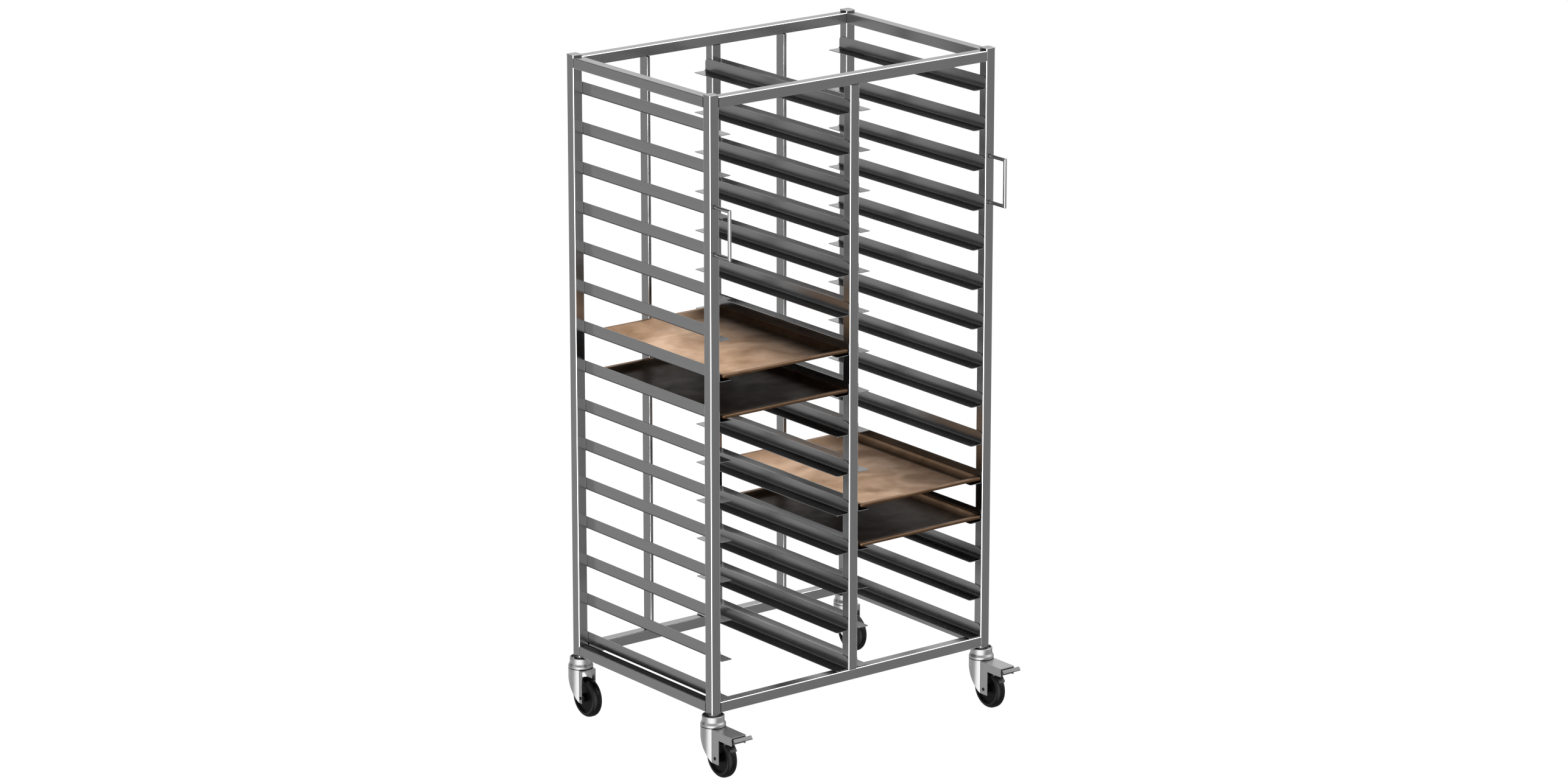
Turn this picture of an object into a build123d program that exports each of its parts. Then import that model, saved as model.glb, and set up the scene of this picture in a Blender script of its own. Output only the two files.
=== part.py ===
from build123d import *
import os
from math import cos, radians, sin

os.makedirs("parts", exist_ok=True)

# Double tray trolley, in millimetres. Front is -Y, right is +X, up is +Z.
# The origin is at the middle of the whole trolley's box, on the floor.

# Frame of square tube
frame_width = 900.0
frame_depth = 600.0
post_length = 1589.0
tube_width = 28.0
tube_wall = 1.5
tube_corner = 2.5
bore_corner = 1.0
top_rail_drop = 3.6
bottom_rail_lift = 1.3

# Caps that close the corner posts
cap_thickness = 2.0
cap_overhang = 1.0
cap_corner = 3.0
plug_depth = 12.0
plug_wall = 1.5
plug_clearance = 0.15

# Slides, bent from sheet, and the stops behind them
slide_pitch = 104.0
slide_height = 34.0
slide_reach = 37.0
slide_sheet = 1.6
slide_bend = 6.5
slide_top_corner = 11.0
slide_tip_corner = 2.5
slide_front_inset = 2.0
lowest_slide_gap = 1.0
stop_width = 9.5
stop_depth = 32.0
stop_wall = 1.2
stop_corner = 1.5

# Trays, pressed from sheet
tray_width = 395.0
tray_length = 544.0
tray_height = 15.0
tray_sheet = 1.0
tray_rim = 7.5
tray_rim_drop = 7.5
tray_side_run = 16.0
tray_end_run = 40.0
tray_rim_corner = 8.0
tray_top_corner = 12.0
tray_floor_corner = 14.0
tray_front_inset = 0.6
tray_side_gap = 0.9
tray_seat_gap = 0.3
left_upper_level = 7
left_lower_level = 8
right_upper_level = 11
right_lower_level = 12

# Push handles, bent from rod
handle_rod = 9.5
handle_height = 130.0
handle_reach = 60.0
handle_below_top = 339.4

# Swivel head of a caster, and the stem that holds it in the post
head_radius = 28.6
head_flare_radius = 32.5
head_wall = 2.25
head_rim_drop = 3.5
head_rim_bevel = 2.0
head_recess_radius = 25.4
head_recess_depth = 5.0
head_roof = 3.0
head_flare_start = 24.5
head_flare_end = 28.5
head_bottom = 32.0
stem_radius = 6.0
stem_top = 58.0
collar_radius = 17.0
nut_flats = 19.0
nut_height = 7.0
thread_clearance = 0.05
sleeve_length = 42.0
sleeve_start = 3.0
clamp_width = 20.0
clamp_height = 8.0
ball_radius = 3.3
ball_track_radius = 17.0
ball_count = 14
ball_clearance = 0.2

# Fork of a caster
fork_radius = 32.4
fork_half_width = 22.7
fork_sheet = 3.0
fork_head_gap = 0.5
fork_bottom = 120.5
fork_hub_radius = 24.4
swivel_clearance = 0.06
plain_cheek_front = 34.5
braked_cheek_front = 52.0
arm_front = 105.5
arm_bottom = 55.0

# Wheel and axle
wheel_radius = 52.5
tyre_width = 26.0
tyre_depth = 13.0
tyre_shoulder = 10.0
rim_width = 21.0
rim_wall = 4.0
web_thickness = 17.0
boss_radius = 11.0
boss_gap = 0.5
axle_radius = 4.0
axle_clearance = 0.06
axle_drop = 106.5
plain_axle_ahead = 29.5
braked_axle_ahead = 36.5
axle_head_radius = 4.4
axle_head = 1.0
axle_socket = 4.5
axle_nut_flats = 11.0
axle_nut_height = 6.0
axle_end = 1.5

# Brake of a front caster
pin_radius = 2.5
pin_clearance = 0.06
pin_seat = 1.5
pedal_pin_ahead = 70.0
pedal_pin_drop = 43.5
pedal_sheet = 2.0
pedal_plate_gap = 1.2
pedal_half_width = 18.6
pedal_plate_rear = 66.0
pedal_plate_front = 108.4
pedal_ear_radius = 5.5
foot_bar_left = 18.6
foot_bar_reach = 37.5
foot_bar_front = 114.5
foot_bar_drop = 9.5
foot_web_drop = 12.0
cam_radius = 2.0
cam_gap = 1.5
cam_angle = 52.0
strap_pin_ahead = 56.0
strap_pin_drop = 49.0
strap_half_width = 10.0
strap_sheet = 2.0
strap_gap = 2.2
strap_low_angle = 28.0
strap_high_angle = 66.0
strap_eye = 2.0

# Levels above the floor, and where the frame's middle lies in the whole box
post_foot = axle_drop + wheel_radius
post_top = post_foot + post_length
bottom_rail_top = post_foot + bottom_rail_lift + tube_width
top_rail_bottom = post_top - top_rail_drop - tube_width
post_x = (frame_width - tube_width) / 2
post_y = (frame_depth - tube_width) / 2
frame_x = (head_flare_radius - foot_bar_reach) / 2
frame_y = (foot_bar_front - head_flare_radius) / 2
left_post, right_post = frame_x - post_x, frame_x + post_x
front_post, rear_post = frame_y - post_y, frame_y + post_y
columns = {"left": left_post, "right": right_post}
rows = {"front": front_post, "rear": rear_post}


def tube_section():
    """Hollow square section with rounded corners, drawn in the open sketch."""
    bore = tube_width - 2 * tube_wall
    RectangleRounded(tube_width, tube_width, tube_corner)
    RectangleRounded(bore, bore, bore_corner, mode=Mode.SUBTRACT)


def write(part, name):
    """Labels a finished piece and writes it under its own name."""
    part.label = name
    export_step(part, f"parts/{name}.step")


# Corner posts
for row, y in rows.items():
    for column, x in columns.items():
        with BuildPart() as corner_post:
            with BuildSketch(Plane((x, y, post_foot))):
                tube_section()
            extrude(amount=post_length)
        write(corner_post.part, f"corner_post_{row}_{column}")

# Flat caps with a square plug that goes into the post, one for each corner post
post_bore = tube_width - 2 * tube_wall
plug_width = post_bore - 2 * plug_clearance
with BuildPart() as post_caps:
    with BuildSketch(Plane((0, 0, post_top))):
        with Locations(*[(x, y) for x in columns.values() for y in rows.values()]):
            RectangleRounded(tube_width + 2 * cap_overhang, tube_width + 2 * cap_overhang, cap_corner)
    extrude(amount=cap_thickness)
    with BuildSketch(Plane((0, 0, post_top - plug_depth))):
        with Locations(*[(x, y) for x in columns.values() for y in rows.values()]):
            RectangleRounded(plug_width, plug_width, bore_corner)
            Rectangle(plug_width - 2 * plug_wall, plug_width - 2 * plug_wall, mode=Mode.SUBTRACT)
    extrude(amount=plug_depth)
write(post_caps.part, "post_caps")

# Rails between the corner posts, at the top and at the bottom
rail_levels = {"top": top_rail_bottom + tube_width / 2, "bottom": bottom_rail_top - tube_width / 2}
for level, z in rail_levels.items():
    for row, y in rows.items():
        rail_start = (left_post + tube_width / 2, y, z)
        with BuildPart() as cross_rail:
            with BuildSketch(Plane(rail_start, x_dir=(0, 1, 0), z_dir=(1, 0, 0))):
                tube_section()
            extrude(amount=frame_width - 2 * tube_width)
        write(cross_rail.part, f"{level}_rail_{row}")
    for column, x in columns.items():
        rail_start = (x, front_post + tube_width / 2, z)
        with BuildPart() as side_rail:
            with BuildSketch(Plane(rail_start, x_dir=(1, 0, 0), z_dir=(0, 1, 0))):
                tube_section()
            extrude(amount=frame_depth - 2 * tube_width)
        write(side_rail.part, f"{level}_rail_{column}")

# Centre posts, between the front rails and between the rear rails
for row, y in rows.items():
    with BuildPart() as centre_post:
        with BuildSketch(Plane((frame_x, y, bottom_rail_top))):
            tube_section()
        extrude(amount=top_rail_bottom - bottom_rail_top)
    write(centre_post.part, f"centre_post_{row}")

# Stop posts, one behind the middle of each bay, flush with the frame's back
bay_width = (frame_width - 3 * tube_width) / 2
bay_offset = (bay_width + tube_width) / 2
bays = {"left": frame_x - bay_offset, "right": frame_x + bay_offset}
stop_y = frame_y + frame_depth / 2 - stop_depth / 2
for bay, x in bays.items():
    with BuildPart() as stop_post:
        with BuildSketch(Plane((x, stop_y, bottom_rail_top))):
            RectangleRounded(stop_width, stop_depth, stop_corner)
            Rectangle(stop_width - 2 * stop_wall, stop_depth - 2 * stop_wall, mode=Mode.SUBTRACT)
        extrude(amount=top_rail_bottom - bottom_rail_top)
    write(stop_post.part, f"stop_post_{bay}")

# Slides: an upright flange on the posts' inner faces and a ledge that carries a tray. There are
# as many levels as fit under the top rails.
lowest_slide = bottom_rail_top + lowest_slide_gap
slide_levels = int((top_rail_bottom - slide_height - lowest_slide) // slide_pitch) + 1
slide_heights = [lowest_slide + slide_pitch * level for level in range(slide_levels)]
for bay, bay_x in bays.items():
    for side, facing in {"left": 1, "right": -1}.items():
        face_x = bay_x - facing * bay_width / 2
        slide_rear = Plane((face_x, frame_y + frame_depth / 2, 0), x_dir=(1, 0, 0), z_dir=(0, -1, 0))
        with BuildPart() as slide:
            with BuildSketch(slide_rear) as slide_profile:
                with BuildLine():
                    Polyline(
                        (0, 0),
                        (facing * slide_reach, 0),
                        (facing * slide_reach, slide_sheet),
                        (facing * slide_sheet, slide_sheet),
                        (facing * slide_sheet, slide_height),
                        (0, slide_height),
                        close=True,
                    )
                make_face()
                outer_corner, inner_corner = (0, 0), (facing * slide_sheet, slide_sheet)
                fillet(slide_profile.vertices().sort_by_distance(outer_corner)[0], slide_bend)
                inner_bend = slide_profile.vertices().sort_by_distance(inner_corner)[0]
                fillet(inner_bend, slide_bend - slide_sheet)
            extrude(amount=frame_depth - slide_front_inset)
            upright_corners = slide.edges().filter_by(Axis.X).group_by(Axis.Z)[-1]
            fillet(upright_corners, slide_top_corner)
            ledge_corners = slide.edges().filter_by(Axis.Z).sort_by(Axis.X, reverse=facing > 0)[:2]
            fillet(ledge_corners, slide_tip_corner)
        with BuildPart() as slide_column:
            with Locations(*[(0, 0, z) for z in slide_heights]):
                add(slide.part)
        write(slide_column.part, f"slides_{bay}_bay_{side}")

# Trays: a shallow pan with sloping walls, a flat rim and the rim's turned-down edge
pan_width = tray_width - 2 * tray_rim
pan_length = tray_length - 2 * tray_rim
side_wall = tray_sheet * (tray_side_run**2 + tray_height**2) ** 0.5 / tray_height
end_wall = tray_sheet * (tray_end_run**2 + tray_height**2) ** 0.5 / tray_height
tray_y = frame_y - frame_depth / 2 + tray_front_inset + tray_length / 2
tray_shift = (bay_width - 2 * slide_sheet - tray_width) / 2 - tray_side_gap
tray_levels = {
    "left": {"upper": left_upper_level, "lower": left_lower_level},
    "right": {"upper": right_upper_level, "lower": right_lower_level},
}
for bay, levels in tray_levels.items():
    for place, level in levels.items():
        ledge_top = slide_heights[slide_levels - level] + slide_sheet
        tray_x = bays[bay] + tray_shift
        floor_z = ledge_top + tray_seat_gap
        rim_z = floor_z + tray_height
        rise = tray_sheet / tray_height
        inner_floor_width = pan_width - 2 * tray_side_run * (1 - rise) - 2 * side_wall
        inner_floor_length = pan_length - 2 * tray_end_run * (1 - rise) - 2 * end_wall
        with BuildPart() as tray:
            with BuildSketch(Plane((tray_x, tray_y, floor_z))):
                RectangleRounded(
                    pan_width - 2 * tray_side_run, pan_length - 2 * tray_end_run, tray_floor_corner
                )
            with BuildSketch(Plane((tray_x, tray_y, rim_z))):
                RectangleRounded(pan_width, pan_length, tray_top_corner)
            loft()
            with BuildSketch(Plane((tray_x, tray_y, floor_z + tray_sheet))):
                RectangleRounded(inner_floor_width, inner_floor_length, tray_floor_corner - tray_sheet)
            with BuildSketch(Plane((tray_x, tray_y, rim_z))):
                RectangleRounded(
                    pan_width - 2 * side_wall, pan_length - 2 * end_wall, tray_top_corner - tray_sheet
                )
            loft(mode=Mode.SUBTRACT)
            with BuildSketch(Plane((tray_x, tray_y, rim_z - tray_sheet))):
                RectangleRounded(tray_width, tray_length, tray_rim_corner)
                RectangleRounded(
                    pan_width - side_wall,
                    pan_length - end_wall,
                    tray_top_corner,
                    mode=Mode.SUBTRACT,
                )
            extrude(amount=tray_sheet)
            with BuildSketch(Plane((tray_x, tray_y, rim_z - tray_rim_drop))):
                RectangleRounded(tray_width, tray_length, tray_rim_corner)
                RectangleRounded(
                    tray_width - 2 * tray_sheet,
                    tray_length - 2 * tray_sheet,
                    tray_rim_corner - tray_sheet,
                    mode=Mode.SUBTRACT,
                )
            extrude(amount=tray_rim_drop - tray_sheet)
        write(tray.part, f"tray_{bay}_{place}")

# Push handles on the front posts: a square-cornered loop of rod welded to the post's face
handle_z = post_top + cap_thickness - handle_below_top
handle_arm = (handle_height - handle_rod) / 2
post_face_y = front_post - tube_width / 2
for column, x in columns.items():
    with BuildPart() as handle:
        with BuildLine():
            Polyline(
                (x, post_face_y, handle_z - handle_arm),
                (x, post_face_y - handle_reach, handle_z - handle_arm),
                (x, post_face_y - handle_reach, handle_z + handle_arm),
                (x, post_face_y, handle_z + handle_arm),
            )
        with BuildSketch(Plane((x, post_face_y, handle_z - handle_arm), z_dir=(0, -1, 0))):
            Circle(handle_rod / 2)
        sweep(transition=Transition.RIGHT)
    write(handle.part, f"handle_{column}")


# Casters: every height below is a drop from the post's foot
recess_floor = head_rim_drop + head_recess_depth
roof_under = recess_floor + head_roof
hub_top = roof_under + 2 * (ball_radius + ball_clearance)
fork_top = head_bottom + fork_head_gap
fork_under = fork_top + fork_sheet
fork_inner = fork_half_width - fork_sheet
tyre_bore = wheel_radius - tyre_depth
boss_half = fork_inner - boss_gap


def profile_plane(x, y):
    """Upright plane through a caster's swivel axis: local x is outwards, local y is up."""
    return Plane((x, y, post_foot), x_dir=(1, 0, 0), z_dir=(0, -1, 0))


def plan_plane(x, y, drop):
    """Level plane below the post's foot: local x is right, local y is ahead, facing down."""
    return Plane((x, y, post_foot - drop), x_dir=(1, 0, 0), z_dir=(0, 0, -1))


def side_plane(x, y):
    """Plane seen from the trolley's right: local x is ahead of the swivel axis, local y is up."""
    return Plane((x, y, post_foot), x_dir=(0, -1, 0), z_dir=(-1, 0, 0))


def tread_point(radius, angle):
    """Point at a radius and an angle about a braked wheel's axle, in the side plane."""
    return (braked_axle_ahead + radius * cos(radians(angle)), radius * sin(radians(angle)) - axle_drop)


with BuildPart() as swivel_balls:
    for x in columns.values():
        for y in rows.values():
            with Locations((x, y, post_foot - (roof_under + hub_top) / 2)):
                with PolarLocations(ball_track_radius, ball_count):
                    Sphere(ball_radius)
write(swivel_balls.part, "swivel_balls")

# Rubber sleeves that grip the posts' bores when the stems are tightened
with BuildPart() as expander_sleeves:
    with BuildSketch(Plane((0, 0, post_foot + sleeve_start))):
        with Locations(*[(x, y) for x in columns.values() for y in rows.values()]):
            RectangleRounded(plug_width, plug_width, bore_corner)
            Circle(stem_radius + thread_clearance, mode=Mode.SUBTRACT)
    extrude(amount=sleeve_length)
write(expander_sleeves.part, "expander_sleeves")

for row, y in rows.items():
    braked = row == "front"
    axle_ahead = braked_axle_ahead if braked else plain_axle_ahead
    cheek_front = braked_cheek_front if braked else plain_cheek_front
    axle_y = y - axle_ahead
    axle_z = post_foot - axle_drop
    for column, x in columns.items():
        swivel_axis = Axis((x, y, 0), (0, 0, 1))
        wheel_axis = Axis((x, axle_y, axle_z), (1, 0, 0))
        axle_profile = Plane((x, axle_y, axle_z), x_dir=(1, 0, 0), z_dir=(0, -1, 0))

        # Swivel head, pressed from sheet, with a recess that the post's foot stands over
        with BuildPart() as caster_head:
            with BuildSketch(profile_plane(x, y)):
                with BuildLine():
                    Polyline(
                        (stem_radius + thread_clearance, -recess_floor),
                        (head_recess_radius, -recess_floor),
                        (head_recess_radius, -head_rim_drop),
                        (head_radius - head_rim_bevel, -head_rim_drop),
                        (head_radius, -head_rim_drop - head_rim_bevel),
                        (head_radius, -head_flare_start),
                        (head_flare_radius, -head_flare_end),
                        (head_flare_radius, -head_bottom),
                        (head_flare_radius - head_wall, -head_bottom),
                        (head_flare_radius - head_wall, -head_flare_end - head_wall / 2),
                        (head_radius - head_wall, -head_flare_start - head_wall / 2),
                        (head_radius - head_wall, -roof_under),
                        (stem_radius + thread_clearance, -roof_under),
                        close=True,
                    )
                make_face()
            revolve(axis=swivel_axis)
        write(caster_head.part, f"caster_head_{row}_{column}")

        # Stem with its collar, its swivel nut and the clamp block above the sleeve
        with BuildPart() as caster_stem:
            nut_top = hub_top + fork_sheet + ball_clearance
            with BuildSketch(Plane((x, y, post_foot - nut_top - nut_height - axle_end))):
                Circle(stem_radius)
            extrude(amount=nut_top + nut_height + axle_end + stem_top)
            with BuildSketch(Plane((x, y, post_foot - recess_floor))):
                Circle(collar_radius)
            extrude(amount=recess_floor)
            with BuildSketch(Plane((x, y, post_foot - nut_top - nut_height))):
                RegularPolygon(nut_flats / 2, 6, major_radius=False)
                Circle(stem_radius + thread_clearance, mode=Mode.SUBTRACT)
            extrude(amount=nut_height)
            with BuildSketch(Plane((x, y, post_foot + sleeve_start + sleeve_length))):
                Rectangle(clamp_width, clamp_width)
                Circle(stem_radius + thread_clearance, mode=Mode.SUBTRACT)
            extrude(amount=clamp_height)
        write(caster_stem.part, f"caster_stem_{row}_{column}")

        # Fork: a round skirt behind, flat cheeks beside the wheel, and on a braked one two arms
        with BuildPart() as caster_fork:
            with BuildSketch(plan_plane(x, y, fork_top)):
                Circle(fork_radius)
                with Locations((0, cheek_front / 2)):
                    Rectangle(2 * fork_half_width, cheek_front)
            extrude(amount=fork_bottom - fork_top)
            if braked:
                with BuildSketch(plan_plane(x, y, fork_top)):
                    with Locations((0, arm_front / 2)):
                        Rectangle(2 * fork_half_width, arm_front)
                extrude(amount=arm_bottom - fork_top)
            with BuildSketch(plan_plane(x, y, fork_under)):
                Circle(fork_radius - fork_sheet)
                with Locations((0, arm_front / 2)):
                    Rectangle(2 * fork_inner, arm_front)
            extrude(amount=fork_bottom, mode=Mode.SUBTRACT)
            crease_ahead = (fork_radius**2 - fork_half_width**2) ** 0.5
            with BuildSketch(side_plane(x, y)):
                with BuildLine():
                    Polyline(
                        (crease_ahead, -fork_bottom),
                        (-fork_radius, -fork_under),
                        (-2 * fork_radius, -fork_under),
                        (-2 * fork_radius, -2 * fork_bottom),
                        (crease_ahead, -2 * fork_bottom),
                        close=True,
                    )
                make_face()
            extrude(amount=2 * fork_radius, both=True, mode=Mode.SUBTRACT)
            with BuildSketch(profile_plane(x, y)):
                with BuildLine():
                    Polyline(
                        (stem_radius + swivel_clearance, -hub_top),
                        (fork_hub_radius, -hub_top),
                        (fork_hub_radius, -fork_under),
                        (fork_hub_radius - fork_sheet, -fork_under),
                        (fork_hub_radius - fork_sheet, -hub_top - fork_sheet),
                        (stem_radius + swivel_clearance, -hub_top - fork_sheet),
                        close=True,
                    )
                make_face()
            revolve(axis=swivel_axis)
            with BuildSketch(plan_plane(x, y, hub_top + fork_sheet)):
                Circle(fork_hub_radius - fork_sheet)
            extrude(amount=fork_under - hub_top - fork_sheet, mode=Mode.SUBTRACT)
            with BuildSketch(side_plane(x, y)):
                with Locations((axle_ahead, -axle_drop)):
                    Circle(axle_radius + axle_clearance)
            extrude(amount=2 * fork_half_width, both=True, mode=Mode.SUBTRACT)
            if braked:
                with BuildSketch(side_plane(x, y)):
                    with Locations((pedal_pin_ahead, -pedal_pin_drop), (strap_pin_ahead, -strap_pin_drop)):
                        Circle(pin_radius + pin_clearance)
                extrude(amount=fork_inner + pin_seat + pin_clearance, both=True, mode=Mode.SUBTRACT)
        write(caster_fork.part, f"caster_fork_{row}_{column}")

        # Axle bolt, with a low socket head on the left and a nut on the right
        with BuildPart() as axle:
            with BuildSketch(Plane((x - fork_half_width, axle_y, axle_z), z_dir=(1, 0, 0))):
                Circle(axle_radius)
            extrude(amount=2 * fork_half_width + axle_nut_height + axle_end)
            with BuildSketch(Plane((x - fork_half_width, axle_y, axle_z), z_dir=(-1, 0, 0))):
                Circle(axle_head_radius)
                RegularPolygon(axle_socket / 2, 6, major_radius=False, mode=Mode.SUBTRACT)
            extrude(amount=axle_head)
            with BuildSketch(Plane((x + fork_half_width, axle_y, axle_z), z_dir=(1, 0, 0))):
                RegularPolygon(axle_nut_flats / 2, 6, major_radius=False)
                Circle(axle_radius + thread_clearance, mode=Mode.SUBTRACT)
            extrude(amount=axle_nut_height)
        write(axle.part, f"axle_{row}_{column}")

        # Wheel centre: a long boss on the axle, a web and a rim under the tyre
        with BuildPart() as wheel:
            with BuildSketch(axle_profile):
                with BuildLine():
                    Polyline(
                        (-boss_half, axle_radius + axle_clearance),
                        (-boss_half, boss_radius),
                        (-web_thickness / 2, boss_radius),
                        (-web_thickness / 2, tyre_bore - rim_wall),
                        (-rim_width / 2, tyre_bore - rim_wall),
                        (-rim_width / 2, tyre_bore),
                        (rim_width / 2, tyre_bore),
                        (rim_width / 2, tyre_bore - rim_wall),
                        (web_thickness / 2, tyre_bore - rim_wall),
                        (web_thickness / 2, boss_radius),
                        (boss_half, boss_radius),
                        (boss_half, axle_radius + axle_clearance),
                        close=True,
                    )
                make_face()
            revolve(axis=wheel_axis)
        write(wheel.part, f"wheel_{row}_{column}")

        # Tyre with a round tread
        with BuildPart() as tyre:
            with BuildSketch(axle_profile) as tyre_profile:
                with Locations((0, wheel_radius - tyre_depth / 2)):
                    Rectangle(tyre_width, tyre_depth)
                fillet(tyre_profile.vertices().group_by(Axis.Y)[-1], tyre_shoulder)
            revolve(axis=wheel_axis)
        write(tyre.part, f"tyre_{row}_{column}")

        if not braked:
            continue

        # Pins that the pedal and the brake strap turn on, seated in the fork's arms
        with BuildPart() as brake_pins:
            for ahead, drop in ((pedal_pin_ahead, pedal_pin_drop), (strap_pin_ahead, strap_pin_drop)):
                with BuildSketch(side_plane(x, y)):
                    with Locations((ahead, -drop)):
                        Circle(pin_radius)
                extrude(amount=fork_inner + pin_seat, both=True)
        write(brake_pins.part, f"brake_pins_{column}")

        # Brake pedal: plate under the fork's top, two ears on the pin, a cam bar between the
        # ears, and the foot bar across the front that reaches past the fork's right side
        plate_top = fork_under + pedal_plate_gap
        cam_reach = wheel_radius + strap_gap + strap_sheet + cam_gap + cam_radius
        cam_ahead, cam_height = tread_point(cam_reach, cam_angle)
        with BuildPart() as brake_pedal:
            with BuildSketch(side_plane(x, y)):
                with BuildLine():
                    Polyline(
                        (pedal_plate_rear, -plate_top),
                        (pedal_plate_front, -plate_top),
                        (pedal_plate_front, -plate_top - pedal_sheet),
                        (pedal_plate_rear, -plate_top - pedal_sheet),
                        close=True,
                    )
                make_face()
            extrude(amount=pedal_half_width, both=True)
            for end in (-1, 1):
                ear_face = side_plane(x + end * (pedal_half_width - pedal_sheet / 2), y)
                with BuildSketch(ear_face):
                    with Locations((pedal_pin_ahead, -pedal_pin_drop)):
                        Circle(pedal_ear_radius)
                    with BuildLine():
                        Polyline(
                            (pedal_pin_ahead - pedal_ear_radius / 2, -plate_top - pedal_sheet / 2),
                            (pedal_plate_front, -plate_top - pedal_sheet / 2),
                            (pedal_plate_front, -plate_top - pedal_sheet - foot_web_drop),
                            (cam_ahead + 2 * cam_radius, cam_height),
                            (cam_ahead, cam_height - 2 * cam_radius),
                            (cam_ahead - 2 * cam_radius, cam_height),
                            (pedal_pin_ahead - pedal_ear_radius / 2, -pedal_pin_drop),
                            close=True,
                        )
                    make_face()
                extrude(amount=pedal_sheet / 2, both=True)
            with BuildSketch(side_plane(x, y)):
                with Locations((cam_ahead, cam_height)):
                    Circle(cam_radius)
            extrude(amount=pedal_half_width - pedal_sheet / 2, both=True)
            bar_plane = side_plane(x + foot_bar_reach, y)
            with BuildSketch(bar_plane):
                with BuildLine():
                    Polyline(
                        (pedal_plate_front, -plate_top),
                        (foot_bar_front, -plate_top - foot_bar_drop + pedal_sheet),
                        (foot_bar_front, -plate_top - foot_bar_drop),
                        (foot_bar_front - pedal_sheet, -plate_top - foot_bar_drop),
                        (pedal_plate_front, -plate_top - pedal_sheet),
                        close=True,
                    )
                make_face()
            extrude(amount=foot_bar_reach + foot_bar_left)
            with BuildSketch(side_plane(x, y)):
                with BuildLine():
                    Polyline(
                        (pedal_plate_front - pedal_sheet, -plate_top),
                        (pedal_plate_front, -plate_top),
                        (pedal_plate_front, -plate_top - pedal_sheet - foot_web_drop),
                        (pedal_plate_front - pedal_sheet, -plate_top - pedal_sheet - foot_web_drop),
                        close=True,
                    )
                make_face()
            extrude(amount=pedal_half_width, both=True)
            with BuildSketch(side_plane(x, y)):
                with Locations((pedal_pin_ahead, -pedal_pin_drop)):
                    Circle(pin_radius + pin_clearance)
            extrude(amount=2 * fork_half_width, both=True, mode=Mode.SUBTRACT)
        write(brake_pedal.part, f"brake_pedal_{column}")

        # Brake strap: an eye on its pin and a curved strip that lies just off the tread
        strap_inner = wheel_radius + strap_gap
        strap_outer = strap_inner + strap_sheet
        eye_radius = pin_radius + pin_clearance + strap_eye

        with BuildPart() as brake_strap:
            with BuildSketch(side_plane(x, y)):
                middle_angle = (strap_low_angle + strap_high_angle) / 2
                with BuildLine():
                    inner = ThreePointArc(
                        tread_point(strap_inner, strap_low_angle),
                        tread_point(strap_inner, middle_angle),
                        tread_point(strap_inner, strap_high_angle),
                    )
                    Polyline(
                        inner @ 1,
                        (strap_pin_ahead - eye_radius, -strap_pin_drop),
                        (strap_pin_ahead, -strap_pin_drop),
                        tread_point(strap_outer, strap_high_angle),
                    )
                    ThreePointArc(
                        tread_point(strap_outer, strap_high_angle),
                        tread_point(strap_outer, middle_angle),
                        tread_point(strap_outer, strap_low_angle),
                    )
                    Line(tread_point(strap_outer, strap_low_angle), inner @ 0)
                make_face()
                with Locations((strap_pin_ahead, -strap_pin_drop)):
                    Circle(eye_radius)
                    Circle(pin_radius + pin_clearance, mode=Mode.SUBTRACT)
            extrude(amount=strap_half_width, both=True)
        write(brake_strap.part, f"brake_strap_{column}")
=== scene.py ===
from math import cos, pi, radians, sin

import bmesh
import bpy
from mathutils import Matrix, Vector, noise


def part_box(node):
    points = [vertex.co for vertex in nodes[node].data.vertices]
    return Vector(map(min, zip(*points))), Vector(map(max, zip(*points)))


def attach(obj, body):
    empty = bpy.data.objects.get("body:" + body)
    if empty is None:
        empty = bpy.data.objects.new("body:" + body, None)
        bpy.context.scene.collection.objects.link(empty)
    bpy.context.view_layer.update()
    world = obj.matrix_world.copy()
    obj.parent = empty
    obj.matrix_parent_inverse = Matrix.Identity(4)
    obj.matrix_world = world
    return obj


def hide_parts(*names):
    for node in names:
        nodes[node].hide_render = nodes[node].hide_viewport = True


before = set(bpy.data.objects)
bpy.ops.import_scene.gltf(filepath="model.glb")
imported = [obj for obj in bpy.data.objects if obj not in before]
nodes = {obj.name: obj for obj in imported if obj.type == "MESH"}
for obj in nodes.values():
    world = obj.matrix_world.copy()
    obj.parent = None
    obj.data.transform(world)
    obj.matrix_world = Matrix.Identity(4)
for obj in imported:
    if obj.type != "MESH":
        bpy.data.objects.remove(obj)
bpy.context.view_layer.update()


# Square tube frame: posts and rails of stainless steel tube, sawn square and welded.
# The steel is satin, with fine drawing marks along each tube and faint clouds in its polish, and
# its rounded corners get a painted highlight: their colour is made lighter than the faces'.
def add(tree, kind, settings=(), **inputs):
    """Adds a node, sets its options, and fills its inputs with values or with other outputs."""
    node = tree.nodes.new(kind)
    for option, value in dict(settings).items():
        setattr(node, option, value)
    for label, value in inputs.items():
        socket = node.inputs[label.replace("_", " ")]
        if isinstance(value, bpy.types.NodeSocket):
            tree.links.new(value, socket)
        else:
            socket.default_value = value
    return node


def new_material(name, **uniform):
    """Starts a material and sets what is the same all over it on the shader's own sockets."""
    material = bpy.data.materials.new(name)
    material.use_nodes = True
    shader = material.node_tree.nodes["Principled BSDF"]
    for label, value in uniform.items():
        shader.inputs[label.replace("_", " ")].default_value = value
    return material, material.node_tree, shader


def two_tones(tree, factor, dark, light, spread=(0.3, 0.7)):
    """Colour that runs from a dark to a light tone as a factor goes over a range."""
    ramp = add(tree, "ShaderNodeValToRGB", Fac=factor)
    for element, position, tone in zip(ramp.color_ramp.elements, spread, (dark, light)):
        element.position, element.color = position, (*tone, 1)
    return ramp.outputs["Color"]


def between(tree, factor, low, high):
    """Number that runs between two values as a noise goes from its low to its high range."""
    scaled = add(
        tree, "ShaderNodeMapRange",
        Value=factor, From_Min=0.3, From_Max=0.7, To_Min=low, To_Max=high,
    )
    return scaled.outputs["Result"]


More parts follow.
